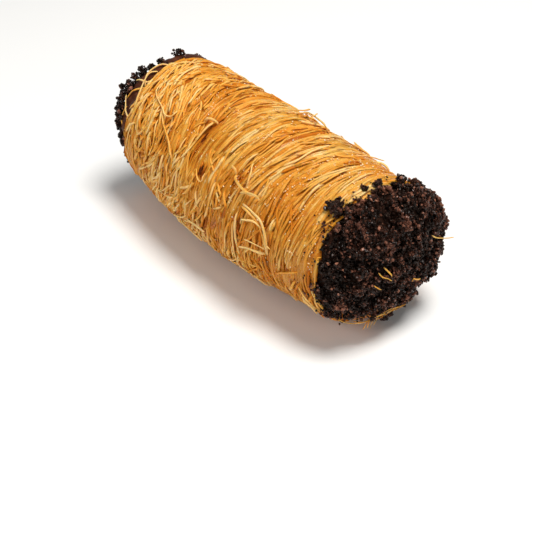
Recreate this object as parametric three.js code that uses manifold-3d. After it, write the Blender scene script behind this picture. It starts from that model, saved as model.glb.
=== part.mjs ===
// A baklava roll: shredded pastry wound in slanting bundles round a plump core, with both ends dipped
// in chocolate spread and rolled in dark biscuit crumbs. Millimetres, +Z up. The roll lies along X on
// its flattened underside, with its fully crumbed end at +X. Angles go round the roll from its top (0)
// over its near side (90, at -Y) to its underside (180).

import * as THREE from 'three';
import { mergeVertices } from 'three/addons/utils/BufferGeometryUtils.js';
import Module from 'manifold-3d';

const wasm = await Module();
wasm.setup();

// ---- Driving dimensions: the whole roll

const HALF_BODY = 34.3;         // half the length of the wound body, up to where the ends round off
const BELLY_RADIUS = 18.1;      // thickest, at the middle
const SAG = 1.2;                // how far its weight has pressed the underside flat
const FORWARD = 0.7;            // brings the middle of the whole length, over the crumbs, above the origin
const BOW = 1.6;                // how far both ends lie back from the belly
const DOME_SQUARENESS = 2.6;    // superellipse power of the rounded ends
const ROUND = 36;               // points in a ring round the roll
const GAP = 0.3;                // between the pastry and each coat of crumbs

// Each end: the roll's radius there, how the belly tapers to it, and how far the end bulges past the
// body. Then its coat: where it starts along the roll, how far that edge wanders, how much later it
// starts on the underside, how far its surface and its rim stand above the roll's mean surface, and
// how many crumbs stand out of it. The far end has less, so the spread shows between its crumbs.
const FRONT = {
  side: 1, radius: 16.2, taper: 1.2, dome: 7.0,
  edge: 32.1, wander: 0.6, bare: 5.0, pile: -0.1, rim: 0.45, crumbs: 27,
};
const BACK = {
  side: -1, radius: 16.75, taper: 2, dome: 8.6,
  edge: 35.6, wander: 0.4, bare: 0, pile: -0.7, rim: 0, crumbs: 15,
};
const BARE_MIDDLE = 165;        // degrees round: the middle of the stretch where the coat starts late
const BARE_SPREAD = 40;

// The front end is drawn in towards its underside, where the pastry was folded over: how far, where it
// starts along the roll and reaches its full depth, and the angle and spread of the drawn side.
const DRAWN = 2.4;
const DRAWN_FROM = 31;
const DRAWN_TO = 39;
const DRAWN_MIDDLE = 168;
const DRAWN_SPREAD = 65;

// ---- Driving dimensions: the winding

const BUNDLES = 38;             // bundles of thread side by side along the body
const CREST = 0.3;              // how far a bundle's back stands above the mean surface
const GROOVE = 0.65;            // how far the groove between two bundles lies below it
const BULGE = 3.4;              // how far bundles of the far half bulge along the roll
const LEAN = 4.2;               // how far bundles of the front half lean along it
const SWELL = 0.25;             // slow lumps of the whole surface
const LOOSE_WIDTH = 1.0;        // a shred's strip, as wide as two or three threads stuck together
const LOOSE_THICKNESS = 0.7;
const LOOSE_STEP = 3.4;         // length of strip between two of its sections
const LEAST_STEPS = 5;
const TUCKED = -0.5;            // lift of a shred's end that is buried in the winding
const LAID_SHREDS = 12;         // shreds lying across the bundles, besides those placed by hand
const LAID_LIFT = 0.27;         // how far they lie above the winding at a quarter of their length

// ---- Driving dimensions: the crumb coats

const COAT = 2.0;               // thickness of spread and crumbs over the pastry
const CRUMB_BUMP = 0.65;        // how far the coat's lumps rise and fall
const CRUMB_MIN = 0.7;          // radius of a crumb
const CRUMB_MAX = 1.5;
const CRUMBED_ROUND = 145;      // degrees each way from the top: on the underside they are pressed in

const AXIS_HEIGHT = BELLY_RADIUS - SAG;

let seed = 20417;
function between(low, high) {
  seed = (seed * 1664525 + 1013904223) % 4294967296;
  return low + (high - low) * (seed / 4294967296);
}

const radians = THREE.MathUtils.degToRad;
const TIP = 90;                 // degrees up a dome

// ---- The roll's overall form

function endAt(x) {
  return x > 0 ? FRONT : BACK;
}

// Mean radius of the wound body at x, which rounds off past HALF_BODY.
function rollRadius(x) {
  const end = endAt(x);
  const along = Math.min(Math.abs(x) / HALF_BODY, 1);
  const body = BELLY_RADIUS - (BELLY_RADIUS - end.radius) * along ** end.taper;
  const past = THREE.MathUtils.clamp((Math.abs(x) - HALF_BODY) / end.dome, 0, 1);
  return body * (1 - past ** DOME_SQUARENESS) ** (1 / DOME_SQUARENESS);
}

// How much nearer the axis the drawn-in part of the front end lies.
function drawnIn(x, angle) {
  const off = (THREE.MathUtils.euclideanModulo(angle - DRAWN_MIDDLE + 180, 360) - 180) / DRAWN_SPREAD;
  const share = THREE.MathUtils.clamp((x - DRAWN_FROM) / (DRAWN_TO - DRAWN_FROM), 0, 1);
  return DRAWN * share * Math.exp(-off * off);
}

// The point at x along the roll, angle degrees round it and radius away from its bowed axis.
function placeOn(x, angle, radius) {
  const back = BOW * (x / HALF_BODY) ** 2;
  const turn = radians(angle);
  const out = radius - drawnIn(x, angle);
  return new THREE.Vector3(x, back - out * Math.sin(turn), AXIS_HEIGHT + out * Math.cos(turn));
}

// The point at turn degrees up an end's dome, from its rim (0) to its tip (90), and lift above it.
function placeOnDome(end, turn, angle, lift) {
  const out = Math.sin(radians(turn)) ** (2 / DOME_SQUARENESS);
  const across = Math.cos(radians(turn)) ** (2 / DOME_SQUARENESS);
  return placeOn(end.side * (HALF_BODY + (end.dome + lift) * out), angle, (end.radius + lift) * across);
}

// A smooth wave round the roll between -1 and 1, different for each phase.
const WAVES = [[2, 0.45, 1], [3, 0.33, 1.7], [5, 0.22, 2.9]];   // count round the roll, size, shift
function ripple(phase, angle) {
  const turn = radians(angle);
  return WAVES.reduce((sum, [count, size, shift]) => {
    return sum + size * Math.sin(count * turn + shift * phase);
  }, 0);
}

// Where the coat starts on the pastry, as a distance from the roll's middle.
function coatEdge(end, angle) {
  const off = (THREE.MathUtils.euclideanModulo(angle - BARE_MIDDLE + 180, 360) - 180) / BARE_SPREAD;
  return end.edge + end.wander * ripple(4 * end.side, 2 * angle) + end.bare * Math.exp(-off * off);
}

function bell(value, middle, spread) {
  return Math.exp(-(((value - middle) / spread) ** 2));
}

// How far a bundle leaves its own ring as it goes round: on the far half it bulges towards the middle
// over the near side, and on the front half it leans back as it comes over the top.
function windingDrift(along, angle) {
  const bulge = BULGE * Math.cos(radians(angle - 45)) * bell(along, 0.22, 0.2);
  const lean = LEAN * Math.sin(radians(angle - 20)) * bell(along, 0.7, 0.27);
  return (bulge - lean) * Math.sin(Math.PI * along);
}

// x of the winding at a share of the way from the back coat's edge to the front one's.
function windingX(along, angle) {
  const back = -coatEdge(BACK, angle);
  return back + (coatEdge(FRONT, angle) - back) * along + windingDrift(along, angle);
}

// ---- Making closed bodies

function ringOf(place) {
  return Array.from({ length: ROUND }, (_, i) => place((360 * i) / ROUND));
}

// A closed skin over rings of points from one pole to the other. The rings run towards +X.
function skin(startPole, rings, endPole) {
  const points = [startPole, ...rings.flat(), endPole];
  const triangles = [];
  const at = (ring, i) => 1 + ring * ROUND + (i % ROUND);
  for (let i = 0; i < ROUND; i += 1) {
    triangles.push(0, at(0, i + 1), at(0, i));
    for (let ring = 0; ring < rings.length - 1; ring += 1) {
      triangles.push(at(ring, i), at(ring + 1, i + 1), at(ring + 1, i));
      triangles.push(at(ring, i), at(ring, i + 1), at(ring + 1, i + 1));
    }
    triangles.push(at(rings.length - 1, i), at(rings.length - 1, i + 1), points.length - 1);
  }
  const geometry = new THREE.BufferGeometry().setFromPoints(points);
  geometry.setIndex(triangles);
  return geometry;
}

function solidOf(geometry) {
  geometry.deleteAttribute('normal');
  geometry.deleteAttribute('uv');
  const merged = mergeVertices(geometry);
  const triVerts = Uint32Array.from(merged.index.array);
  const vertProperties = Float32Array.from(merged.attributes.position.array);
  return new wasm.Manifold(new wasm.Mesh({ numProp: 3, vertProperties, triVerts }));
}

// The solid's outermost body, without scraps or the small hollows that fused shreds close off.
function wholeOf(solid) {
  return solid.decompose().reduce((most, body) => (body.volume() > most.volume() ? body : most));
}

function geometryOf(solid) {
  const mesh = wholeOf(solid).getMesh();
  const geometry = new THREE.BufferGeometry();
  geometry.setAttribute('position', new THREE.BufferAttribute(mesh.vertProperties, 3));
  geometry.setIndex(new THREE.BufferAttribute(mesh.triVerts, 1));
  geometry.computeVertexNormals();
  return geometry;
}

// ---- Under both coats: a smooth domed stub, the same for the pastry and the coat's inner face

const STUB_TURNS = [35, 60];    // degrees up the dome

// A stub whose surface lies this deep under the roll's own, from its corner, which is set in a little
// from the coat's edge, to the top of its dome.
function stubRings(end, depth, inset) {
  const corner = ringOf((angle) => {
    const x = end.side * (coatEdge(end, angle) + inset);
    return placeOn(x, angle, rollRadius(x) - depth);
  });
  return [corner, ...STUB_TURNS.map((turn) => ringOf((angle) => placeOnDome(end, turn, angle, -depth)))];
}

// ---- The wound pastry

// Grooves and crests by turns along the body, on bundles of uneven width.
function bundleRows() {
  const widths = Array.from({ length: BUNDLES }, () => between(0.6, 1.4));
  const total = widths.reduce((sum, width) => sum + width, 0);
  const rows = [{ along: 0, lift: -GROOVE, phase: 0 }];
  let done = 0;
  for (const width of widths) {
    rows.push({ along: (done + width / 2) / total, lift: CREST * width, phase: between(0, 9) });
    done += width;
    rows.push({ along: done / total, lift: -GROOVE * between(0.7, 1.25), phase: between(0, 9) });
  }
  return rows;
}

// Slow lumps: waves along the roll that wander as they go round it, and fade and return.
function swell(x, angle) {
  const wave = Math.sin(x / 6 + 2 * Math.sin(radians(angle + 30)));
  return SWELL * wave * Math.cos(radians(2 * angle) + x / 11);
}

function surfaceRadius(x, angle) {
  return rollRadius(x) + swell(x, angle);
}

function woundBody() {
  const wound = bundleRows().map((row) => ringOf((angle) => {
    const x = windingX(row.along, angle);
    const lift = row.lift * (0.6 + 0.4 * ripple(row.phase, angle));
    const point = placeOn(x, angle, surfaceRadius(x, angle) + lift);
    point.z = Math.max(point.z, 0);
    return point;
  }));
  const back = stubRings(BACK, COAT, 0).reverse();
  const front = stubRings(FRONT, COAT, 0);
  const tips = [BACK, FRONT].map((end) => placeOnDome(end, TIP, 0, -COAT));
  return solidOf(skin(tips[0], [...back, ...wound, ...front], tips[1]));
}

// A flat strip of shredded pastry along a path.
function strip(path, width, thickness) {
  const corners = [[-1, -1], [1, -1], [1, 1], [-1, 1]].map(([across, up]) => {
    return new THREE.Vector2((across * width) / 2, (up * thickness) / 2);
  });
  const section = new THREE.Shape(corners);
  const steps = Math.max(LEAST_STEPS, Math.round(path.getLength() / LOOSE_STEP));
  return solidOf(new THREE.ExtrudeGeometry(section, { extrudePath: path, steps, bevelEnabled: false }));
}

// A shred through points of x, angle and lift above the winding.
function shred(route) {
  const points = route.map(([x, angle, lift]) => placeOn(x, angle, surfaceRadius(x, angle) + lift));
  return strip(new THREE.CatmullRomCurve3(points), LOOSE_WIDTH, LOOSE_THICKNESS);
}

// The shreds that have come loose, each by x, angle and lift.
const LOOSE_ROUTES = [
  [[-15, 42, TUCKED], [-12.4, 31, 0.9], [-9.6, 25, 1.3], [-6.4, 24, TUCKED]],
  [[0.5, 42, TUCKED], [3.5, 45, 0.9], [7.6, 53, 1.2], [12.4, 54, 1.9]],
  [[9, 56, TUCKED], [11.4, 63, 0.9], [16.6, 70, 1.5], [18.9, 79, 1.7], [19.4, 92, 1.3], [17, 103, TUCKED]],
  [[17.8, 90, TUCKED], [15, 94, 0.9], [12, 95, 1.5]],
  [[-13, 112, TUCKED], [-9.6, 111, 1.0], [-4.4, 109, 1.7], [0.3, 107, 2.2]],
  [[-8, -24, TUCKED], [-3, -34, 0.9], [0.5, -42, 2.1]],
  [[8, -18, TUCKED], [6.4, -32, 1.3], [3.6, -43, 2.0], [-1, -50, TUCKED]],
  [[26, -12, TUCKED], [24.6, -28, 1.0], [22.8, -42, 1.9]],
];

// A shred that lies across the bundles, between the coats, with both ends tucked in. It starts on the
// far side or the top and ends well above the pressed underside.
const LAID_FROM = -BACK.edge + 2;
const LAID_TO = FRONT.edge - 2.5;
function laidShred() {
  const along = between(0.07, 0.93);
  const start = between(-125, 60);
  const span = between(45, 75);
  const slip = between(-3, 3);
  const route = [0, 0.25, 0.5, 0.75, 1].map((share) => {
    const angle = start + span * share;
    const x = THREE.MathUtils.clamp(windingX(along, angle) + slip * share, LAID_FROM, LAID_TO);
    const tucked = share === 0 || share === 1;
    return [x, angle, tucked ? TUCKED : LAID_LIFT * (1 + Math.sin(Math.PI * share))];
  });
  return shred(route);
}

// ---- Crumbs

// An uneven crumb about the given place.
function crumb(place, size) {
  const geometry = new THREE.IcosahedronGeometry(size, 0);
  geometry.deleteAttribute('normal');
  geometry.deleteAttribute('uv');
  const merged = mergeVertices(geometry);
  const position = merged.attributes.position;
  const spin = new THREE.Euler(between(0, 6), between(0, 6), between(0, 6));
  for (let i = 0; i < position.count; i += 1) {
    const corner = new THREE.Vector3().fromBufferAttribute(position, i);
    corner.multiplyScalar(between(0.72, 1.2)).applyEuler(spin).add(place);
    position.setXYZ(i, corner.x, corner.y, corner.z);
  }
  return solidOf(merged);
}

// Crumbs that strayed onto the pastry beside the front coat: x, angle, size. Five make one clump.
const STRAY_CRUMBS = [
  [30.0, 34, 1.3], [29.1, 31, 1.1], [29.9, 28, 1.0], [29.6, 38, 1.0], [28.0, 34, 0.8],
  [30.5, 7.5, 0.9], [30.4, -6, 1.0], [29.5, -22, 0.8], [30.8, 19, 0.7], [30.2, 62, 0.7],
];

function strayCrumb([x, angle, size]) {
  return crumb(placeOn(x, angle, surfaceRadius(x, angle) + 0.3 * size), size);
}

function pastry() {
  let body = woundBody();
  for (const route of LOOSE_ROUTES) {
    body = body.add(shred(route));
  }
  for (let i = 0; i < LAID_SHREDS; i += 1) {
    body = body.add(laidShred());
  }
  for (const stray of STRAY_CRUMBS) {
    body = body.add(strayCrumb(stray));
  }
  return body;
}

// ---- The coats of spread and crumbs

const COAT_TURNS = [79, 68, 57, 47, 37, 28, 20, 12, 5];   // degrees up the dome, from its tip down

// The lumpy outside from the tip to the rim, and back up the smooth lining.
function coatBody(end) {
  const lumpy = (turn) => ringOf((angle) => {
    return placeOnDome(end, turn, angle, end.pile + CRUMB_BUMP * between(-1, 1));
  });
  const rings = COAT_TURNS.map(lumpy);
  const rim = ringOf((angle) => {
    const x = end.side * (coatEdge(end, angle) + GAP);
    return placeOn(x, angle, rollRadius(x) + end.rim);
  });
  const shoulder = rim.map((point, i) => point.clone().lerp(rings.at(-1)[i], 0.5));
  const lining = stubRings(end, COAT - GAP, GAP);
  const skins = [...rings, shoulder, rim, ...lining];
  const tips = [placeOnDome(end, TIP, 0, end.pile), placeOnDome(end, TIP, 0, GAP - COAT)];
  return solidOf(end.side < 0 ? skin(tips[0], skins, tips[1]) : skin(tips[1], skins.reverse(), tips[0]));
}

// A crumb anywhere on the coat, clear of the pastry at its rim.
function coatCrumb(end) {
  const turn = Math.asin(Math.sqrt(between(0.03, 1))) * THREE.MathUtils.RAD2DEG;
  const angle = between(-CRUMBED_ROUND, CRUMBED_ROUND);
  const size = between(CRUMB_MIN, CRUMB_MAX);
  const place = placeOnDome(end, turn, angle, end.pile + 0.1 * size);
  const clear = coatEdge(end, angle) + GAP + 1.3 * size;
  place.x = end.side * Math.max(Math.abs(place.x), clear);
  return crumb(place, size);
}

// Shreds of pastry stuck to the front crumbs: turn up the dome, angle round it and length.
const STUCK_SHREDS = [[62, 62, 5.5], [58, 88, 4.5], [34, -70, 6]];

function stuckShred([turn, angle, length]) {
  const middle = placeOnDome(FRONT, turn, angle, FRONT.pile);
  const path = new THREE.CatmullRomCurve3([
    middle.clone().add(new THREE.Vector3(0.2, length / 2, 0.3 * length)),
    middle,
    middle.clone().add(new THREE.Vector3(0.1, -length / 2, -0.1 * length)),
  ]);
  return strip(path, LOOSE_THICKNESS, LOOSE_THICKNESS);
}

function coat(end, shreds) {
  let body = coatBody(end);
  for (let i = 0; i < end.crumbs; i += 1) {
    body = body.add(coatCrumb(end));
  }
  for (const stuck of shreds) {
    body = body.add(stuckShred(stuck));
  }
  return body;
}

// ---- Materials

function pastryLook() {
  return new THREE.MeshStandardMaterial({ color: 0xd9a051, roughness: 0.5, metalness: 0 });
}

function crumbLook() {
  return new THREE.MeshStandardMaterial({ color: 0x221614, roughness: 0.75, metalness: 0 });
}

function spreadLook() {
  return new THREE.MeshStandardMaterial({ color: 0x43231a, roughness: 0.45, metalness: 0 });
}

function piece(name, solid, material) {
  const mesh = new THREE.Mesh(geometryOf(solid).translate(FORWARD, 0, 0), material);
  mesh.name = name;
  return mesh;
}

const roll = new THREE.Group();
roll.add(piece('kadaif_roll', pastry(), pastryLook()));
roll.add(piece('crumb_coat_front', coat(FRONT, STUCK_SHREDS), crumbLook()));
roll.add(piece('crumb_coat_back', coat(BACK, []), spreadLook()));

export default roll;
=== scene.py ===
import bmesh
import bpy
import numpy as np
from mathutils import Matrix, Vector
from numpy.random import default_rng


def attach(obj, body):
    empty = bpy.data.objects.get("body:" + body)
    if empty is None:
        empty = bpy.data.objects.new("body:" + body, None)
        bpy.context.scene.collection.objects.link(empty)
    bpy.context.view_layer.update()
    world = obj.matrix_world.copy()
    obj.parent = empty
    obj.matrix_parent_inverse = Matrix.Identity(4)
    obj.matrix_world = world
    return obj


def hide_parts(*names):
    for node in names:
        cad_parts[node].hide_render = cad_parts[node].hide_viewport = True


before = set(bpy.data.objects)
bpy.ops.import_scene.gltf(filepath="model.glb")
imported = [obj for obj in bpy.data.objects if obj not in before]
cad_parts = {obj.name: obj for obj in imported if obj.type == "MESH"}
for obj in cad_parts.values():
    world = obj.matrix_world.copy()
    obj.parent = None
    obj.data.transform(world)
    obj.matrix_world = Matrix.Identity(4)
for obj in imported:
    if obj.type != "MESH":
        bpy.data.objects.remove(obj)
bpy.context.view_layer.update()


# ---- Table and studio
# A pale matt table under a soft lamp that stands over the roll and a little behind it, so that the
# syrup glints along the top. A weaker lamp on the near side and a faint one off the near end open the
# shadows.

MM = 0.001  # sizes are in mm, but the table's and the lamps' are in metres
AXIS_HEIGHT = 16.9  # of the roll's axis over the table
FORWARD = 0.7  # of the roll's middle from the frame's origin, towards the near end
CAMERA_FROM_AXIS = (156.91, -129.35, 137.16)
VIEW_YAW, VIEW_PITCH = np.radians(-50.65), np.radians(-38.18)
LENS, SENSOR = 72.565, 36.0
LAMPS = [  # name, place, size, watts, tint
    ("overhead_lamp", (0.10, 0.08, 0.52), 0.24, 3.1, (1.0, 0.985, 0.96)),
    ("near_side_lamp", (-0.12, -0.52, 0.38), 0.30, 1.02, (1.0, 0.99, 0.98)),
    ("near_end_lamp", (0.50, -0.12, 0.34), 0.22, 0.35, (1.0, 0.99, 0.98)),
]
STUDIO_LIGHT = 0.19


def aim(name, data, place, look):
    """A camera or lamp at a place that looks along a direction."""
    item = bpy.data.objects.new(name, data)
    item.location = place
    item.rotation_euler = look.to_track_quat("-Z", "Y").to_euler()
    bpy.context.collection.objects.link(item)
    return item


axis_middle = Vector((FORWARD, 0, AXIS_HEIGHT)) * MM
data = bpy.data.cameras.new("camera")
data.lens, data.sensor_width = LENS, SENSOR
data.clip_start, data.clip_end = 0.01, 20
flat = np.cos(VIEW_PITCH)
look = Vector((np.sin(VIEW_YAW) * flat, np.cos(VIEW_YAW) * flat, np.sin(VIEW_PITCH)))
bpy.context.scene.camera = aim("camera", data, axis_middle + Vector(CAMERA_FROM_AXIS) * MM, look)
bpy.context.scene.view_settings.view_transform = "Standard"

for name, place, size, watts, tint in LAMPS:
    data = bpy.data.lights.new(name, "AREA")
    data.shape, data.size, data.energy, data.color = "DISK", size, watts, tint
    aim(name, data, place, axis_middle - Vector(place))

world = bpy.data.worlds.new("white_studio")
bpy.context.scene.world = world
world.use_nodes = True
background = world.node_tree.nodes["Background"].inputs
background["Color"].default_value = (1, 1, 1, 1)
background["Strength"].default_value = STUDIO_LIGHT


def new_material(name):
    """A material with nothing but a Principled shader: the material, its tree and the shader."""
    material = bpy.data.materials.new(name)
    material.use_nodes = True
    return material, material.node_tree, material.node_tree.nodes["Principled BSDF"]


def put(tree, kind, sockets=None, **settings):
    """A node in the tree, with its settings and the values or links of its input sockets."""
    node = tree.nodes.new(kind)
    for key, value in settings.items():
        setattr(node, key, value)
    feed(tree, node, sockets or {})
    return node


def feed(tree, node, sockets):
    for key, value in sockets.items():
        if isinstance(value, bpy.types.NodeSocket):
            tree.links.new(value, node.inputs[key])
        else:
            node.inputs[key].default_value = value


def worked(tree, operation, *values):
    """A Math node's result."""
    return put(tree, "ShaderNodeMath", dict(enumerate(values)), operation=operation).outputs[0]


def noise(tree, scale, detail=2.0, roughness=0.5, where=None):
    """Noise with about this many lumps to a metre of the object, or to a unit of where."""
    if where is None:
        where = put(tree, "ShaderNodeTexCoord").outputs["Object"]
    sockets = {"Vector": where, "Scale": scale, "Detail": detail, "Roughness": roughness}
    return put(tree, "ShaderNodeTexNoise", sockets).outputs["Fac"]


def bump(tree, height, strength, distance, **sockets):
    """A Bump node's normal."""
    sockets = {"Height": height, "Strength": strength, "Distance": distance, **sockets}
    return put(tree, "ShaderNodeBump", sockets).outputs[0]


TABLE_WHITE = (0.86, 0.86, 0.85, 1)
TABLE_SIZE, TABLE_SQUARES = 6.0, 8

bpy.ops.mesh.primitive_grid_add(x_subdivisions=TABLE_SQUARES, y_subdivisions=TABLE_SQUARES,
                                size=TABLE_SIZE, location=(0, 0, 0))
table = bpy.context.object
table.name = "table"
table_paint, tree, shader = new_material("matt_table")
speckle = noise(tree, 900)
feed(tree, shader, {
    "Base Color": TABLE_WHITE,
    "Roughness": worked(tree, "MULTIPLY_ADD", speckle, 0.1, 0.75),
    "Normal": bump(tree, speckle, 0.05, 0.0001),
})
table.data.materials.append(table_paint)


# ---- Wound mass of the roll
# Wet shredded pastry is wound round and round in one direction, then baked: a mass of threads glued
# by syrup. It is the ground under all the threads, and rounds off at both ends. Its colour is painted
# darker where it lies low and under the dry threads: painted shade in the grooves and gaps.

HALF_BODY = 34.3  # from the middle to where each end begins to round off
BELLY_RADIUS = 18.1
BOW = 1.6  # how far both ends curve away from the near side
SQUARENESS = 2.6  # of the rounding: 2 would be an ellipse
FRONT_RADIUS, FRONT_TAPER, FRONT_DOME = 16.2, 1.2, 7.0  # near end, towards +X
BACK_RADIUS, BACK_TAPER, BACK_DOME = 16.75, 2.0, 8.6  # far end
DRAWN, DRAWN_FROM, DRAWN_TO = 2.4, 31, 39  # how deep, and between which x
DRAWN_MIDDLE, DRAWN_SPREAD = 168, 65  # degrees round
GROUND_DEPTH = 0.34  # of the mass under the roll's mean surface
DEEPER_IF_DRY, DEEPER_AT_BACK, DEEPER_AT_FRONT = 0.56, 1.6, 1.9
GROUND_STEPS, GROUND_ROUND = 240, 110


def roll_radius(x):
    """Mean radius of the roll at x, rounding off over the ends."""
    front = x > 0
    radius = np.where(front, FRONT_RADIUS, BACK_RADIUS)
    taper = np.where(front, FRONT_TAPER, BACK_TAPER)
    dome = np.where(front, FRONT_DOME, BACK_DOME)
    along = np.minimum(np.abs(x) / HALF_BODY, 1)
    body = BELLY_RADIUS - (BELLY_RADIUS - radius) * along ** taper
    past = np.clip((np.abs(x) - HALF_BODY) / dome, 0, 1)
    return body * (1 - past ** SQUARENESS) ** (1 / SQUARENESS)


def degrees_past(angle, start):
    """Degrees from start round to angle, from -180 to 180."""
    return (angle - start + 180) % 360 - 180


def swell(x, angle):
    """The roll's slow lumps, and the side of the near end that is drawn in towards the underside."""
    turn = np.radians(angle)
    lumps = 0.25 * np.sin(x / 6 + 2 * np.sin(turn + 0.52)) * np.cos(2 * turn + x / 11)
    off = degrees_past(angle, DRAWN_MIDDLE) / DRAWN_SPREAD
    drawn = DRAWN * np.clip((x - DRAWN_FROM) / (DRAWN_TO - DRAWN_FROM), 0, 1) * np.exp(-off ** 2)
    return lumps * np.clip((HALF_BODY + 4 - np.abs(x)) / 8, 0, 1) - drawn


def on_roll(x, angle, lift):
    """Points and outward directions at x, degrees round from the top over the near side, and lift."""
    turn = np.radians(angle)
    slope = np.clip((roll_radius(x + 0.05) - roll_radius(x - 0.05)) / 0.1, -8, 8)
    steep = np.sqrt(1 + slope ** 2)
    outward = np.stack([-slope / steep, -np.sin(turn) / steep, np.cos(turn) / steep], axis=-1)
    radius = np.maximum(roll_radius(x) + swell(x, angle), 0)
    centre = np.stack([x + FORWARD, BOW * (x / HALF_BODY) ** 2 - radius * np.sin(turn),
                       AXIS_HEIGHT + radius * np.cos(turn)], axis=-1)
    return centre + outward * np.asarray(lift)[..., None], outward


def wander(u, v, seed, cells=(61, 67)):
    """Smooth noise from -1 to 1 over a grid of unit cells."""
    table = default_rng(seed).uniform(-1, 1, cells)
    column, row = np.floor(u).astype(int), np.floor(v).astype(int)
    part, share = u - column, v - row
    part, share = part * part * (3 - 2 * part), share * share * (3 - 2 * share)
    corner = lambda i, j: table[(column + i) % cells[0], (row + j) % cells[1]]
    near = corner(0, 0) * (1 - part) + corner(1, 0) * part
    far = corner(0, 1) * (1 - part) + corner(1, 1) * part
    return near * (1 - share) + far * share


VIEWED_ANGLE = 43.3  # degrees round, of the line along the roll that faces the camera
LEANS = [  # degrees of lean, x, its spread, turn from the viewed line, its spread
    (32, -24, 9, -15, 28), (-20, 14, 12, -25, 35), (-38, -14, 18, 62, 26), (-10, 12, 10, 60, 30),
    (18, 12, 14, 150, 40), (-22, -16, 13, -120, 38), (14, -25, 10, 140, 30), (-16, 24, 9, -95, 30),
]


def from_viewed(angle):
    return degrees_past(angle, VIEWED_ANGLE)


def add_hills(value, x, turn, hills):
    """The value raised by smooth hills: height, x, its spread, turn from the viewed line, its spread."""
    for height, middle, spread, at, width in hills:
        off = degrees_past(turn, at) / width
        value = value + height * np.exp(-((x - middle) / spread) ** 2 - off ** 2)
    return value


def lean_of_winding(x, angle):
    """How far the threads lean off their rings, in radians, towards +X as they go round."""
    turn = from_viewed(angle)
    lean = 6 * wander(x / 9 + 20, turn / 30 + 20, 5) + 4 * wander(x / 4 + 20, turn / 22 + 20, 6)
    lean = add_hills(lean, x, turn, LEANS)
    return np.radians(lean * np.clip((37.5 - np.abs(x)) / 8, 0.1, 1))


def home_of(x, angle):
    """x where the thread through this point crosses the viewed line."""
    steps, limit = 36, HALF_BODY + 7
    turn = from_viewed(angle)
    step = -turn / steps
    for _ in range(steps):
        x = x + np.tan(lean_of_winding(x, turn + VIEWED_ANGLE)) * roll_radius(x) * np.radians(step)
        x = np.clip(x, -limit, limit)
        turn = turn + step
    return x


def press_flat(points, height):
    """Lift what lies lower than this to it, as the table does to the underside."""
    points[..., 2] = np.maximum(points[..., 2], height)


def lay_mesh(name, points, faces, material, values, smooth=True):
    """An object of quads or triangles over points, with a value for each point by name."""
    mesh = bpy.data.meshes.new(name)
    mesh.vertices.add(points.size // 3)
    mesh.vertices.foreach_set("co", (points * MM).astype(np.float32).ravel())
    mesh.loops.add(faces.size)
    mesh.loops.foreach_set("vertex_index", faces.astype(np.int32).ravel())
    mesh.polygons.add(len(faces))
    mesh.polygons.foreach_set("loop_start", np.arange(len(faces), dtype=np.int32) * faces.shape[1])
    mesh.polygons.foreach_set("use_smooth", np.full(len(faces), smooth))
    for key, value in values.items():
        layer = mesh.attributes.new(key, "FLOAT", "POINT")
        layer.data.foreach_set("value", value.astype(np.float32).ravel())
    mesh.update(calc_edges=True)
    mesh.validate()
    mesh.materials.append(material)
    piece = bpy.data.objects.new(name, mesh)
    bpy.context.collection.objects.link(piece)
    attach(piece, "root")
    return piece


def grid_quads(rows, columns, closed=True):
    """Quads over a grid of points, closed round its columns or not."""
    row, column = np.meshgrid(
        np.arange(rows - 1) * columns, np.arange(columns if closed else columns - 1), indexing="ij")
    after = (column + 1) % columns
    return np.stack([row + column, row + after, row + columns + after, row + columns + column],
                    axis=-1).reshape(-1, 4)


def new_group(name, inputs, outputs):
    """A shader node group with float inputs, and outputs by name and kind."""
    group = bpy.data.node_groups.new(name, "ShaderNodeTree")
    for key, value in inputs.items():
        socket = group.interface.new_socket(key, in_out="INPUT", socket_type="NodeSocketFloat")
        socket.default_value = value
    for key, kind in outputs.items():
        group.interface.new_socket(key, in_out="OUTPUT", socket_type="NodeSocket" + kind)
    return group, put(group, "NodeGroupInput").outputs, put(group, "NodeGroupOutput")


def colour_steps(tree, value, steps):
    """A colour ramp through colours at rising places from 0 to 1."""
    node = put(tree, "ShaderNodeValToRGB", {"Fac": value})
    ramp = node.color_ramp
    for place, _ in steps[1:-1]:
        ramp.elements.new(place)
    for element, (place, colour) in zip(ramp.elements, steps):
        element.position, element.color = place, (*colour, 1)
    return node.outputs["Color"]


def point_value(tree, name):
    return put(tree, "ShaderNodeAttribute", attribute_name=name).outputs["Fac"]


# Colour of baked pastry by how pale it is, broken into streaks that run along each thread.
baked, given, out = new_group(
    "baked_streaks", {"Pale": 0.6, "Across": 0.0, "Along": 0.0, "Streakiness": 0.2},
    {"Color": "Color", "Height": "Float"})
place = put(baked, "ShaderNodeCombineXYZ", {"X": given["Across"], "Y": given["Along"]}).outputs[0]
fine = put(baked, "ShaderNodeMapping", {"Vector": place, "Scale": (3.2, 0.22, 1)}).outputs[0]
broad = put(baked, "ShaderNodeMapping", {"Vector": place, "Scale": (0.9, 0.09, 1)}).outputs[0]
fine_streak = noise(baked, 1.0, 3.0, 0.6, fine)
streak = worked(baked, "ADD", worked(baked, "MULTIPLY", fine_streak, 0.6),
                worked(baked, "MULTIPLY", noise(baked, 1.0, where=broad), 0.8))
toasted = noise(baked, 330, 3.0, 0.6)
pale = worked(baked, "MULTIPLY_ADD", worked(baked, "SUBTRACT", streak, 0.7), given["Streakiness"],
              given["Pale"])
pale = worked(baked, "MULTIPLY_ADD", worked(baked, "SUBTRACT", toasted, 0.5), 0.35, pale)
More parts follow.
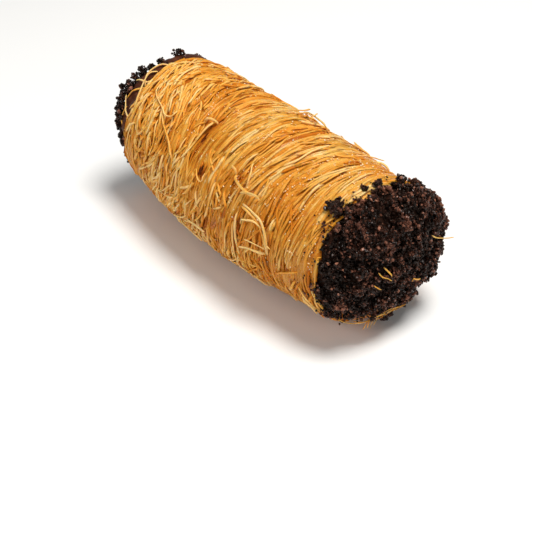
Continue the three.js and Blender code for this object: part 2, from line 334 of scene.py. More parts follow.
feed(baked, out, {
    "Color": colour_steps(baked, pale, [
        (0.0, (0.1, 0.016, 0.001)), (0.14, (0.28, 0.056, 0.002)), (0.3, (0.46, 0.118, 0.005)),
        (0.45, (0.6, 0.19, 0.01)), (0.6, (0.72, 0.268, 0.024)), (0.8, (0.83, 0.39, 0.066)),
        (1.0, (0.92, 0.58, 0.22)),
    ]),
    "Height": fine_streak,
})

# Syrup: where it lies it fills the pores, beads up in specks and shines.
syrup, given, out = new_group(
    "syrup", {"Wetness": 0.5, "Dry Roughness": 0.55},
    {"Roughness": "Float", "Coat": "Float", "Height": "Float"})
pooled = noise(syrup, 420, 3.0, 0.55)
wet = worked(syrup, "MULTIPLY", given["Wetness"], worked(syrup, "MULTIPLY_ADD", pooled, 1.6, 0.1))
beads = noise(syrup, 2300, 2.0, 0.6)
feed(syrup, out, {
    "Roughness": worked(syrup, "MULTIPLY_ADD", wet, -0.22, given["Dry Roughness"]),
    "Coat": worked(syrup, "MULTIPLY", wet, 0.45),
    "Height": worked(syrup, "MULTIPLY", beads, worked(syrup, "ADD", wet, 0.35)),
})


def pastry_finish(name, dry_roughness, streakiness, relief):
    """Baked pastry under syrup, for a mesh with pale, wet, across and along values."""
    material, tree, shader = new_material(name)
    streaks = {key: point_value(tree, key.lower()) for key in ("Pale", "Across", "Along")}
    colour = put(tree, "ShaderNodeGroup", {**streaks, "Streakiness": streakiness}, node_tree=baked)
    gloss = put(tree, "ShaderNodeGroup", {"Wetness": point_value(tree, "wet"),
                                          "Dry Roughness": dry_roughness}, node_tree=syrup)
    fibres = bump(tree, colour.outputs["Height"], relief, 0.00035)
    feed(tree, shader, {
        "Base Color": colour.outputs["Color"], "Roughness": gloss.outputs["Roughness"],
        "Coat Weight": gloss.outputs["Coat"], "Coat Roughness": 0.2, "Coat IOR": 1.4,
        "Specular IOR Level": 0.15, "Specular Tint": (1.0, 0.82, 0.55, 1),
        "Subsurface Weight": 0.3, "Subsurface Scale": 0.0007,
        "Normal": bump(tree, gloss.outputs["Height"], 0.9, 0.0003, Normal=fibres),
    })
    shader.inputs["Subsurface Radius"].default_value = (1.0, 0.5, 0.2)
    return material


def dryness(x, angle):
    """0 where the winding is pressed smooth and glazed, 1 where it stayed shaggy and dry."""
    turn = from_viewed(angle)
    lower_left = np.exp(-((x + 13) / 17) ** 4) * np.exp(-((turn - 45) / 48) ** 4)
    far_top = 0.95 * np.exp(-((x + 28) / 9) ** 4) * np.exp(-((turn + 5) / 48) ** 4)
    lower_middle = 0.6 * np.exp(-((x - 10) / 12) ** 2) * np.exp(-((turn - 40) / 28) ** 2)
    underneath = 0.25 * np.clip((np.abs(turn) - 95) / 25, 0, 1)
    patch = 0.18 * wander(x / 7 + 9, turn / 25 + 9, 12)
    return np.clip(np.maximum.reduce([lower_left, far_top, lower_middle, underneath]) + patch, 0, 1)


BROWN_AND_SHADE_PATCHES = [  # strength, x, its spread, degrees from the viewed line, its spread
    # painted shade: the strong small patch at x -4.1 stands for a hole, the one at x 12 for deep strands
    (0.32, -8, 2.6, -8, 14), (0.26, -7.2, 2.2, 10, 12), (2.2, -4.1, 0.65, 17.5, 2.6),
    (0.16, 27, 4, 14, 16), (0.14, 12, 9, -42, 16), (0.16, -10, 8, -45, 14), (0.12, 29, 4, 65, 20),
    (0.3, 6.5, 2.2, 8, 5), (0.16, 6, 7, 46, 14), (0.2, 4, 5, 160, 30), (0.2, -20, 6, -130, 30),
    (-0.12, 23, 9, -28, 26), (-0.12, 0, 3.2, -24, 22), (-0.1, 13, 3, 12, 12), (-0.1, -30, 7, -14, 30),
    (0.12, 12, 5, 27, 12), (0.09, -18, 6, 12, 14), (-0.1, 27, 5, -44, 16), (0.06, -26, 8, -40, 16),
    (-0.04, 12, 12, -44, 24), (-0.05, 0, 40, -48, 32), (0.05, 20, 8, -16, 22), (0.04, -2, 10, 45, 26),
]


def browning_and_shade(x, angle):
    """How much darker the pastry is here: browning, and painted shade at a hole and among deep strands.
    """
    turn = from_viewed(angle)
    brown = 0.07 * wander(x / 3.5 + 30, turn / 35 + 30, 21)
    return add_hills(brown, x, turn, BROWN_AND_SHADE_PATCHES)


FRONT_EDGE = [  # degrees round from the top, x where the front crumbs begin
    (-180, 34.8), (-150, 33.4), (-100, 32.6), (-60, 32), (-21, 31.6), (7, 32.7), (24, 31.9), (36, 31.1),
    (47, 30.8), (60, 31.5), (72, 32.3), (93, 32.2), (105, 32.6), (124, 33.4), (138, 37), (150, 39.5),
    (163, 40), (172, 37), (180, 34.8),
]


def front_edge(angle):
    return np.interp(degrees_past(angle, 0), *zip(*FRONT_EDGE))


shares = np.linspace(-1, 1, GROUND_STEPS)
x = np.where(shares < 0, HALF_BODY + BACK_DOME, HALF_BODY + FRONT_DOME) * 0.995
x, angle = np.meshgrid(
    x * shares, np.linspace(0, 360, GROUND_ROUND, endpoint=False), indexing="ij")
home = home_of(x, angle)
along = from_viewed(angle) * np.pi / 180 * BELLY_RADIUS
dry = dryness(x, angle)
lift = (0.2 * wander(home / 0.55 + 80, along / 7 + 50, 31)
        + 0.22 * wander(home / 1.5 + 80, along / 12 + 50, 32) - GROUND_DEPTH
        - DEEPER_IF_DRY * dry - DEEPER_AT_BACK * np.clip((-x - 34) / 3, 0, 1)
        - DEEPER_AT_FRONT * np.clip((x - front_edge(angle) + 0.4) / 1.2, 0, 1))
points, _ = on_roll(x, angle, lift)
press_flat(points, 0.12)
# pale: painted shade, darker where the mass lies lower and where it is dry
ground = lay_mesh(
    "wound_mass", points, grid_quads(GROUND_STEPS, GROUND_ROUND),
    pastry_finish("syrup_soaked_mass", 0.5, 0.4, 0.7),
    {"pale": 0.6 + 0.4 * (lift + GROUND_DEPTH) - 0.3 * dry - 0.6 * browning_and_shade(x, angle),
     "wet": 0.8 - 0.5 * dry, "across": home, "along": along})
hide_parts("kadaif_roll")


# ---- Pressed bands
# Neighbouring threads that were laid side by side have been glued by the syrup and pressed flat into
# ribbed bands, 1 to 3 mm wide. They make most of the smooth, glazed parts and overlap like shingles.

BANDS = 300
BAND_COLUMNS, BAND_STEPS = 7, 27
BAND_LENGTHS, BAND_WIDTHS = (16, 52), (1.0, 3.4)
BAND_LEVELS = (-0.28, 0.04)  # over the roll's mean surface
RIB_HEIGHT, EDGE_DROP = 0.09, 0.36
BACK_EDGE = [  # the same where the threads stop at the far end
    (-180, -37), (-90, -37.6), (-40, -38.2), (-5, -37.2), (7, -36.8), (24, -36.6), (34, -36.4),
    (45, -36.6), (56, -37.2), (64, -37.6), (79, -38.2), (110, -38.4), (180, -37),
]


def back_edge(angle):
    turn = degrees_past(angle, 0)
    return np.interp(turn, *zip(*BACK_EDGE)) + 0.9 * wander(turn / 4 + 60, turn * 0 + 3.3, 81)


def follow_winding(x, angle, length, stray, steps, reach=0.5):
    """Paths along the winding: x and degrees of every path and step. stray is how far each is off the
    winding's own lean, in radians, and reach how far it may go past where the near crumbs begin."""
    across, round_ = np.empty((2, len(x), steps))
    step = length / (steps - 1)
    for i in range(steps):
        across[:, i], round_[:, i] = x, angle
        lean = lean_of_winding(x, angle) + stray[:, i]
        x = x + step * np.sin(lean)
        x = np.clip(x, back_edge(angle), front_edge(angle) + reach)
        angle = angle + np.degrees(step * np.cos(lean) / np.maximum(roll_radius(x), 5))
    return across, round_


def unit(vectors):
    return vectors / (np.linalg.norm(vectors, axis=-1, keepdims=True) + 1e-9)


def ribbon_frames(points, outward):
    """Sideways and upright directions along each path."""
    forward = np.gradient(points, axis=1)
    sideways = unit(np.cross(forward, outward))
    return sideways, unit(np.cross(sideways, forward))


def ends_down(shares, length, reach):
    """1 along the middle of each path, falling to 0 over the reach at both ends."""
    from_end = np.minimum(shares, 1 - shares) * length[:, None]
    return np.clip(from_end / reach, 0, 1) ** 0.6


def scatter(chance, count, low, high, odds=None):
    """Places round the roll from low to high along it, where the odds keep them: x, degrees round."""
    x, angle = chance.uniform(low, high, count), chance.uniform(-180, 180, count)
    kept = slice(None) if odds is None else chance.random(count) < odds(x, angle)
    return x[kept], angle[kept]


def repeated(faces, count, corners):
    """The same faces for each of count parts that have this many corners."""
    return (faces[None] + (np.arange(count) * corners)[:, None, None]).reshape(-1, faces.shape[1])


chance = default_rng(101)
x, angle = scatter(chance, BANDS, -38, 33)
length = chance.uniform(*BAND_LENGTHS, BANDS)
width = chance.uniform(*BAND_WIDTHS, BANDS) * (1 - 0.35 * dryness(x, angle))
shares = np.linspace(0, 1, BAND_STEPS)[None, :]
stray = np.radians(chance.normal(0, 3.5, BANDS))[:, None] + np.radians(3) * np.sin(
    shares * chance.uniform(2, 7, BANDS)[:, None] + chance.uniform(0, 6, BANDS)[:, None])
across, round_ = follow_winding(x, angle, length, stray, BAND_STEPS, -0.9)
dry = dryness(across, round_)
fall = ends_down(shares, length, 2.5)
level = chance.uniform(*BAND_LEVELS, BANDS)[:, None] - 0.38 * dry
middle, outward = on_roll(across, round_, level - 0.45 * (1 - fall))
sideways, upright = ribbon_frames(middle, outward)
column = np.linspace(-1, 1, BAND_COLUMNS)[None, None, :]
half_width = (width[:, None] / 2 * (0.25 + 0.75 * fall)
              * (1 + 0.18 * np.sin(shares * chance.uniform(4, 14, BANDS)[:, None])))[..., None]
ribs = RIB_HEIGHT * np.cos(column * np.pi * np.round(width * 1.4)[:, None, None]
                           + 0.8 * np.sin(shares * 5)[..., None])
crown = ribs - EDGE_DROP * np.abs(column) ** 3 * np.ones_like(half_width)
points = (middle[:, :, None, :] + sideways[:, :, None, :] * (half_width * column)[..., None]
          + upright[:, :, None, :] * crown[..., None])
press_flat(points, 0.1)
quads = repeated(grid_quads(BAND_STEPS, BAND_COLUMNS, False), BANDS, BAND_STEPS * BAND_COLUMNS)
pale = chance.normal(0.59, 0.11, BANDS)[:, None] - browning_and_shade(across, round_) - 0.24 * dry
# pale: paler on the rib crests, darker in the troughs and at the dropping edges: painted shade
bands = lay_mesh(
    "pressed_bands", points, quads, pastry_finish("glazed_bands", 0.44, 0.5, 0.6),
    {"pale": pale[..., None] + 0.5 * ribs - 0.07 * np.abs(column) ** 4,
     "wet": np.repeat(1 - 0.85 * dry, BAND_COLUMNS),
     "across": half_width * column + chance.uniform(0, 99, BANDS)[:, None, None],
     "along": np.repeat(shares * length[:, None], BAND_COLUMNS)})
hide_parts("kadaif_roll")


# ---- Glazed threads
# Single threads of shredded pastry, 0.5 to 0.8 mm thick, lie in tresses along the winding, sunk into
# the glaze with their ends tucked under. They give the smooth parts their fine parallel lines.

GLAZED_TRESSES, GLAZED_STEPS = 150, 20
GLAZED_LENGTHS, GLAZED_HALF_WIDTHS, GLAZED_LEVELS = (22, 46), (0.26, 0.42), (-0.32, 0)
THREAD_SIDES = 4
THREAD_PITCH = 0.5  # between the threads of a tress


def wander_along(shares, length, every, seed, apart=1.7):
    """Smooth noise from -1 to 1 along each thread, with a lump in it every so many mm."""
    return wander(shares * length[:, None] / every + 20, np.arange(len(length))[:, None] * apart, seed)


def tube_mesh(name, points, outward, half_width, flatness, material, pale, wet, length,
              node="kadaif_roll"):
    """Threads with blunt ends and an uneven, flattened section along paths of points, each turned its
    own way about it."""
    count, steps = points.shape[:2]
    shares = np.linspace(0, 1, steps)[None, :]
    from_end = np.minimum(shares, 1 - shares) * length[:, None]
    half_width = half_width[:, None] * np.sqrt(np.clip(from_end / 0.8, 0.004, 1))
    half_width = half_width * (1 + 0.25 * wander_along(shares, length, 1.7, 71, 1.37))
    half_height = half_width * flatness
    sideways, upright = ribbon_frames(points, outward)
    twist = (0.9 * wander_along(shares, length, 6, 72, 2.71))[..., None]
    sideways, upright = (sideways * np.cos(twist) + upright * np.sin(twist),
                         upright * np.cos(twist) - sideways * np.sin(twist))
    turn = np.arange(THREAD_SIDES) * 2 * np.pi / THREAD_SIDES
    skin = (points[:, :, None, :]
            + sideways[:, :, None, :] * (half_width[..., None] * np.cos(turn))[..., None]
            + upright[:, :, None, :] * (half_height[..., None] * np.sin(turn))[..., None])
    press_flat(skin, 0.03)
    quads = repeated(grid_quads(steps, THREAD_SIDES), count, steps * THREAD_SIDES)
    spread = lambda value: np.repeat(np.broadcast_to(value, (count, steps)), THREAD_SIDES)
    place = np.arange(count)[:, None, None] * 3.7 + 0.25 * np.cos(turn)
    piece = lay_mesh(name, skin, quads, material, {
        "pale": spread(pale), "wet": spread(wet), "along": spread(shares * length[:, None]),
        "across": np.broadcast_to(place, skin.shape[:3])})
    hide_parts(node)


def tresses(chance, x, angle, threads_each, pitch, lengths, strays, steps):
    """Single threads side by side in tresses: the tress of each, its start, length and stray, and the
    share of its length at every step."""
    number = chance.integers(*threads_each, len(x))
    tress = np.repeat(np.arange(len(x)), number)
    place = np.concatenate([np.arange(n) - n / 2 for n in number])
    count = len(tress)
    start_x = x[tress] + place * pitch * chance.uniform(0.8, 1.2, count)
    start_angle = angle[tress] + chance.uniform(-1, 1, count) * 14
    length = chance.uniform(*lengths, len(x))[tress] * chance.uniform(0.65, 1.1, count)
    stray = chance.normal(0, strays, len(x))[tress] + chance.normal(0, strays * 0.25, count)
    return tress, start_x, start_angle, length, np.radians(stray), np.linspace(0, 1, steps)[None, :]


chance = default_rng(202)
tress, x, angle, length, stray, shares = tresses(
    chance, *scatter(chance, GLAZED_TRESSES, -38.5, 33.5), (3, 6), THREAD_PITCH, GLAZED_LENGTHS, 4.5,
    GLAZED_STEPS)
count = len(tress)
kinks = np.radians(6) * wander_along(shares, length, 4, 73)
across, round_ = follow_winding(x, angle, length, stray[:, None] + kinks, GLAZED_STEPS)
dry = dryness(across, round_)
level = (chance.uniform(*GLAZED_LEVELS, GLAZED_TRESSES)[tress]
         + chance.uniform(-0.06, 0.06, count))[:, None]
level = level + 0.08 * np.sin(shares * 9 + tress[:, None])
centre, outward = on_roll(across, round_, level - 0.6 * (1 - ends_down(shares, length, 2.2)))
press_flat(centre, 0.25)
half_width = chance.uniform(*GLAZED_HALF_WIDTHS, count)
pale = (chance.normal(0.58, 0.09, GLAZED_TRESSES)[tress] + chance.normal(0, 0.09, count))[:, None]
glazed_thread_finish = pastry_finish("glazed_threads", 0.48, 0.45, 0.45)
# threads that lie lower are painted darker: painted shade
tube_mesh("glazed_threads", centre, outward, half_width, 0.66, glazed_thread_finish,
          pale + 0.3 * (level + 0.2) - 0.9 * browning_and_shade(across, round_) + 0.08 * dry, 0.9 - 0.75 * dry,
          length)


# ---- Frayed tresses
# Cut threads end in tresses too. Their tips come up side by side over the winding behind them,
# crisper than the rest, and lie over the smooth parts like thatch. They are painted paler towards the
# rising tip, partly as drier pastry and partly as painted shade on the sunk ends. Here and there the
# syrup has merged two or three of them into one flat strip.

FRAYED_TRESSES, FRAYED_STEPS = 300, 13
FRAYED_LENGTHS, FRAYED_HALF_WIDTHS = (5, 15), (0.26, 0.4)
SUNK_END, TIP_RISE = -0.38, 0.47
MERGED_SHARE, MERGED_WIDTH = 0.22, 1.7
MERGED_FLATNESS, FRAYED_FLATNESS = 0.3, 0.5

chance = default_rng(252)
tress_x, tress_angle = scatter(chance, FRAYED_TRESSES, -36, 33.5,
                               lambda x, angle: 1 - 0.6 * dryness(x, angle))
tress, x, angle, length, stray, shares = tresses(
    chance, tress_x, tress_angle, (2, 7), THREAD_PITCH, FRAYED_LENGTHS, 8, FRAYED_STEPS)
count = len(tress)
kinks = np.radians(9) * wander_along(shares, length, 3, 75)
across, round_ = follow_winding(x, angle, length, stray[:, None] + kinks, FRAYED_STEPS)
toward_tip = np.where(chance.random(len(tress_x))[tress][:, None] < 0.7, shares, 1 - shares)
level = (SUNK_END + TIP_RISE * np.clip(toward_tip * 1.6, 0, 1)
         + chance.normal(0, 0.09, len(tress_x))[tress][:, None])
centre, outward = on_roll(across, round_, level + chance.uniform(-0.08, 0.08, count)[:, None])
press_flat(centre, 0.25)
merged = chance.random(count) < MERGED_SHARE
half_width = chance.uniform(*FRAYED_HALF_WIDTHS, count) * np.where(merged, MERGED_WIDTH, 1)
flatness = np.where(merged, MERGED_FLATNESS, FRAYED_FLATNESS)[:, None]
pale = (chance.normal(0.62, 0.1, len(tress_x))[tress] + chance.normal(0, 0.07, count))[:, None]
# paler towards the rising tip: partly drier pastry, partly painted shade on the sunk end
tube_mesh("frayed_tresses", centre, outward, half_width, flatness, glazed_thread_finish,
          pale + 0.14 * toward_tip - 0.06 - 0.9 * browning_and_shade(across, round_),
          0.7 - 0.45 * dryness(across, round_) - 0.1 * toward_tip, length)


# ---- Syrup beads
# Where the syrup dried on the smooth parts it stands in tiny beads, thickest along the top. Each one
# catches the lamps, which gives the glaze its sparkle. They run from amber to pale cream: partly
# crystal sugar, partly a painted highlight.

SYRUP_BEADS = 9000  # tried for; those on dry parts are left out
BEAD_RADII = (0.07, 0.2)


def ball():
    """Corners and triangles of a unit ball of 20 faces."""
    work = bmesh.new()
    bmesh.ops.create_icosphere(work, subdivisions=1, radius=1)
    work.verts.index_update()
    corners = np.array([corner.co[:] for corner in work.verts])
    triangles = np.array([[corner.index for corner in face.verts] for face in work.faces])
    work.free()
    return corners, triangles


def uneven_grains(centres, sizes, knobs, chance):
    """Corners and triangles of grains of these radii, each knobbly, turned and stretched its own way."""
    corners, triangles = ball()
    count = len(centres)
    spin, _ = np.linalg.qr(chance.normal(size=(count, 3, 3)))
    stretch = chance.uniform(0.72, 1.25, (count, 1, 3))
    bumps = 1 + knobs * chance.uniform(-1, 1, (count, len(corners), 1))
    shape = np.einsum("nij,nkj->nki", spin, corners[None] * stretch * bumps)
    points = (centres[:, None, :] + shape * sizes[:, None, None]).reshape(-1, 3)
    return points, repeated(triangles, count, len(corners)), len(corners)


dried_syrup_and_painted_glints, tree, shader = new_material("dried_syrup_and_painted_glints")
cloud = noise(tree, 700)
feed(tree, shader, {
    # the pale cream end is partly a painted highlight
    "Base Color": colour_steps(tree, cloud, [
        (0.3, (0.8, 0.36, 0.05)), (0.5, (0.92, 0.62, 0.25)), (0.7, (0.98, 0.86, 0.62))]),
    "Roughness": worked(tree, "MULTIPLY_ADD", cloud, 0.2, 0.04),
    "Coat Weight": 0.6, "Coat Roughness": 0.05,
})


def beading(x, angle):
    """How likely the syrup is to have dried in a bead here."""
    patches = wander(x / 3 + 30, angle / 14 + 30, 82) + 0.6 * wander(x / 1.2 + 60, angle / 30 + 30, 83)
    along_top = np.exp(-(from_viewed(angle + 12) / 75) ** 4)
    return (1 - dryness(x, angle)) * (0.15 + along_top) * (0.5 + patches)


chance = default_rng(808)
x, angle = scatter(chance, SYRUP_BEADS, -34, 32, beading)
centres, _ = on_roll(x, angle, chance.uniform(-0.12, 0.16, len(x)))
press_flat(centres, 0.3)
corners, triangles, _ = uneven_grains(centres, chance.uniform(*BEAD_RADII, len(x)), 0.12, chance)
beads = lay_mesh("syrup_beads", corners, triangles, dried_syrup_and_painted_glints, {})
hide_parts("kadaif_roll")


# ---- Dry threads
# The outermost threads escaped the syrup and baked pale and crisp. They cross the winding at angles
# of their own, bend, and stand a little off it, thickest over the lower far half of the near side.

DRY_TRESSES = 2500  # tried for; few of those on glazed parts are kept
DRY_STEPS = 13
DRY_LENGTHS, DRY_HALF_WIDTHS, DRY_PITCH = (4, 14), (0.24, 0.38), 0.62
CROSSING_SHARE, LIFTED_SHARE = 0.22, 0.3

chance = default_rng(303)
tress_x, tress_angle = scatter(chance, DRY_TRESSES, -38.5, 33.5,
                               lambda x, angle: 0.06 + 0.94 * dryness(x, angle))
tress, x, angle, length, stray, shares = tresses(
    chance, tress_x, tress_angle, (1, 4), DRY_PITCH, DRY_LENGTHS, 13, DRY_STEPS)
count = len(tress)
crossing = chance.random(len(tress_x))[tress] < CROSSING_SHARE
stray = stray + crossing * np.radians(chance.choice([-1, 1], count) * chance.uniform(18, 50, count))
bend = np.radians(chance.uniform(4, 26, count))[:, None] * wander_along(shares, length, 3.5, 74)
across, round_ = follow_winding(x, angle, length, stray[:, None] + bend, DRY_STEPS)
level = (chance.uniform(-0.3, 0.45, len(tress_x))[tress] + chance.uniform(-0.1, 0.1, count))[:, None]
level = level + 0.12 * np.sin(shares * chance.uniform(4, 9, count)[:, None])
tucked = ends_down(shares, length, 1.6)
lifted = chance.random(count)[:, None] < LIFTED_SHARE
level = np.where(lifted & (shares > 0.5), level + 1.6 * (shares - 0.5) ** 2, level - 0.5 * (1 - tucked))
centre, outward = on_roll(across, round_, level)
press_flat(centre, 0.22)
half_width = chance.uniform(*DRY_HALF_WIDTHS, count)
pale = chance.normal(0.68, 0.16, count)[:, None]
dry_thread_finish = pastry_finish("dry_threads", 0.6, 0.4, 0.4)
# threads that lie lower or tuck in are painted darker, lifted ones paler: painted shade and light
tube_mesh("dry_threads", centre, outward, half_width, 0.72, dry_thread_finish,
          pale + 0.5 * (level - 0.1) - 0.7 * browning_and_shade(across, round_), 0.22, length)


# ---- Loose shreds
# Stiff shreds of one or two threads sprang off the winding as it baked. Most are tucked in at one end
# at least; the longest bows down the near side and frays towards the far end.

LOOSE_ROUTES = [  # strands in it, then each point by x, degrees round and lift
    (1, (-11.4, 30.3, 0.5), (-10.4, 28.2, 0.9), (-9, 26.8, 0.9), (-7.7, 26.5, 0.5), (-7.9, 27.4, -0.5)),
    (1, (-6.3, 60, -0.3), (-4.2, 63.7, 0.9), (-2.9, 65.4, 1.1), (-1.9, 64.7, 1.2), (-2.1, 61.5, 1),
     (-3, 59.5, -0.3)),
    (2, (5.4, 48.2, -0.4), (6.2, 50.5, 0.9), (8.8, 52.8, 1.3), (10.7, 54, 1), (12, 55, -0.4)),
    (2, (8, 58, -0.4), (11.2, 54, 1), (13.5, 52.8, 1.2), (14.9, 53.3, 1.3)),
    (1, (3.9, 44.7, 1.2), (5.2, 46.2, 0.8), (5.4, 49.5, -0.4)),
    (2, (9.7, 63.2, -0.4), (14, 62.8, 1), (17, 64.5, 1.3), (19, 69.8, 1.4), (20.1, 79.2, 1.1),
     (19.3, 90.5, -0.4)),
    (1, (9.7, 64.8, -0.4), (12.9, 64.4, 0.9), (16.1, 66.5, 1.2), (18.1, 71.2, 1.2), (19.4, 77.5, 1.1),
     (19.1, 87, -0.4)),
    (1, (18.2, 69.5, 1.2), (15.9, 67.5, 1.4), (13.5, 69.8, 1.3), (12.2, 71.5, 1.3)),
    (1, (19.6, 86.5, 0.6), (17.7, 87, 1.2), (15.3, 87.8, 1.4), (12.6, 90.8, 1.5)),
    (1, (19.6, 83, 0.7), (17.2, 82, 1.3), (14.4, 82.2, 1.6)),
    (1, (19.8, 79, 0.8), (20.8, 78.4, 1.4), (21.7, 78.6, 1.6)),
    (1, (-3.5, -6, -0.4), (0, -14, 0.8), (1.4, -20.8, 1.4), (2.8, -22.5, 2), (3.2, -26.2, 2.6)),
    (1, (-0.5, -20, -0.3), (2.3, -26.2, 1.3), (5.8, -21.2, 1.9), (5.4, -26.4, 2.6)),
    (2, (-0.8, -31.8, -0.3), (1, -31, 1.2), (6.6, -23.2, 1.9), (9.6, -22.2, 1.7), (10.4, -27.8, -0.3)),
    (1, (20.2, -20, -0.4), (21.3, -25.2, 0.5), (22.8, -29.5, 1), (24.9, -27.5, 1.5), (26.5, -26.5, 1.9)),
    (2, (-8.2, 103.5, -0.2), (-6.4, 102.2, 0.9), (-3.9, 101, 1.1), (-1.6, 100.5, 1.2), (0.8, 100, 1.3)),
    (2, (-13, 112, -0.5), (-9.6, 111, 1), (-4.4, 109, 1.7), (0.3, 107, 2.2)),
    (1, (7.2, 34.5, -0.3), (8, 38, 0.6), (8.9, 41.8, 0.8), (9.6, 48.5, 0.6), (9.4, 53, -0.4)),
    (1, (-32.9, 24, -0.4), (-30.7, 34.5, 0.7), (-25.2, 40.5, 0.8), (-23.1, 43.5, 0.8),
     (-20.9, 41.8, 0.9), (-20.4, 37.8, 0.8), (-21.4, 33.5, -0.3)),
    (1, (-27.3, 37, -0.3), (-22.7, 47.8, 0.7), (-17.6, 56.5, 0.7), (-15.3, 63, 0.6), (-13.8, 70, -0.3)),
    (1, (-38.8, 50.8, 2), (-37.6, 56.2, 1.5), (-37, 62, 0.9), (-35.4, 67.2, -0.3)),
    (1, (-38.8, 37, 1.9), (-37.5, 34.5, 1.4), (-36, 31.8, -0.3)),
    (2, (-36.6, 20, 0.4), (-37.1, 25.5, 1.2), (-36.6, 32, 1.2), (-35.6, 40.5, 1), (-34.7, 50.5, 0.9),
     (-35, 63.8, -0.3)),
    (1, (-36.2, 7, -0.3), (-37.1, 13.2, 1), (-37.4, 22, 1.4), (-37, 30, 1.3), (-36.4, 37, -0.2)),
    (1, (-37.6, 58, 0.9), (-38.6, 64.5, 1), (-38.4, 72, 1), (-37, 80, -0.3)),
    (1, (-35.8, 36, -0.3), (-37.4, 43, 1.1), (-38.2, 48, 1.4), (-38.6, 55, 1.2), (-37.6, 66, -0.2)),
]
SHRED_STEPS = 26
STRAND_PITCH = 0.38


def smooth_route(route, shares):
    """Catmull-Rom through the route's points, at shares of the way."""
    knots = np.array([route[0], *route, route[-1]], dtype=float)
    at = np.clip(shares, 0, 0.9999) * (len(route) - 1)
    i = at.astype(int)
    part = (at - i)[:, None]
    before, start, end, after = knots[i], knots[i + 1], knots[i + 2], knots[i + 3]
    return 0.5 * (2 * start + (end - before) * part
                  + (2 * before - 5 * start + 4 * end - after) * part ** 2
                  + (3 * start - before - 3 * end + after) * part ** 3)


def lay_shreds(name, routes, seed, thickness, paleness, node):
    """Shreds along routes of points. Each route begins with its number of strands, which part a
    little, and thickness is theirs beside a millimetre."""
    chance = default_rng(seed)
    part = np.linspace(0, 1, SHRED_STEPS)
    runs = []
    for strands, *route in routes:
        for strand in range(strands):
            finish = 1 - 0.12 * strand * chance.random()
            run = smooth_route(route, np.linspace(0, finish, SHRED_STEPS))
            shift = (strand - (strands - 1) / 2) * STRAND_PITCH * (0.4 + 0.9 * part)
            shift = shift + chance.normal(0, 0.05)
            run[:, 0] += shift * 0.8
            run[:, 1] += shift * 1.2
            runs.append(run)
    centre, outward = on_roll(*np.moveaxis(np.array(runs), -1, 0))
    length = np.linalg.norm(np.diff(centre, axis=1), axis=-1).sum(axis=1)
    half_width = chance.uniform(0.4, 0.6, len(runs)) * thickness
    pale = chance.normal(paleness, 0.09, len(runs))[:, None]
    tube_mesh(name, centre, outward, half_width, 0.7, dry_thread_finish, pale, 0.3, length, node)


lay_shreds("loose_shreds", LOOSE_ROUTES, 404, 0.46, 0.92, "kadaif_roll")


# ---- Chocolate spread
# Both ends were dipped in soft chocolate spread, which rounds them off. It is smooth, wavy and glossy
# where it shows between the crumbs of the far end, and dull with crumb dust under those of the near
# end.

SPREAD_RINGS, SPREAD_ROUND = 60, 110
RIM_RINGS = 12  # of them, those before the end rounds off


def spread_finish(name, roughness, gloss, shades):
    material, tree, shader = new_material(name)
    smears = noise(tree, 260, 3.0, 0.55)
    grain = noise(tree, 1900, 2.0)
    feed(tree, shader, {
        "Base Color": colour_steps(tree, smears, list(zip((0.3, 0.5, 0.72), shades))),
        "Roughness": worked(tree, "MULTIPLY_ADD", smears, 0.3, roughness),
        "Coat Weight": gloss, "Coat Roughness": 0.2, "Specular IOR Level": 0.2,
        "Specular Tint": (1.0, 0.66, 0.48, 1),
        "Normal": bump(tree, worked(tree, "MULTIPLY_ADD", grain, 0.25, smears), 0.6, 0.0006),
    })
    return material


def end_on(x, angle):
    """Where a place on the roll is in the view of the roll from its end."""
    return roll_radius(x) * np.sin(np.radians(angle)), roll_radius(x) * np.cos(np.radians(angle))


def dipped_end(name, side, start, dome, depth_at, bulge, finish, node):
    """The spread over one end, from its edge to its tip. depth_at gives how deep it lies under the
    roll's mean surface, but for the bulge that stands at its rim."""
    turn = np.linspace(0, np.pi / 2, SPREAD_RINGS - RIM_RINGS)
    over = HALF_BODY + dome * np.sin(turn) ** (2 / SQUARENESS)
    x = side * np.concatenate([np.linspace(start, HALF_BODY, RIM_RINGS, endpoint=False), over])
    x, angle = np.meshgrid(x, np.linspace(0, 360, SPREAD_ROUND, endpoint=False), indexing="ij")
    y, z = end_on(x, angle)
    lumps = 0.28 * wander(y / 2.3 + 20, z / 2.3 + x / 3 + 30, 41) + 0.12 * wander(y + 30, z + x + 40, 42)
    rolled = bulge * np.exp(-((np.abs(x) - HALF_BODY - 4.6) / 2.1) ** 2) * (
        0.45 + 0.55 * np.exp(-(degrees_past(angle, 25) / 62) ** 4))
    points, _ = on_roll(x, angle, lumps - depth_at(x, angle) + rolled)
    press_flat(points, 0.15)
    piece = lay_mesh(name, points, grid_quads(SPREAD_RINGS, SPREAD_ROUND), finish, {})
    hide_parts(node)


def depth_front(x, angle):
    return np.interp(x - front_edge(angle), [-0.8, 0.2, 1.0, 4.0], [2.4, 0.9, 0.8, 1.7])


def depth_back(x, angle):
    return 0.45 + 0.5 * np.clip((HALF_BODY + 3 + x) / 4, 0, 1)


DUSTED_SPREAD = ((0.006, 0.002, 0.001), (0.014, 0.0045, 0.0024), (0.032, 0.011, 0.006))
BARE_SPREAD = ((0.024, 0.006, 0.003), (0.062, 0.017, 0.007), (0.15, 0.044, 0.015))

dipped_end("spread_front", 1, 30.5, FRONT_DOME, depth_front, 0,
           spread_finish("crumb_dusted_spread", 0.6, 0, DUSTED_SPREAD), "crumb_coat_front")
dipped_end("spread_back", -1, 34.8, BACK_DOME, depth_back, 1.7,
           spread_finish("glossy_spread", 0.2, 0.15, BARE_SPREAD), "crumb_coat_back")


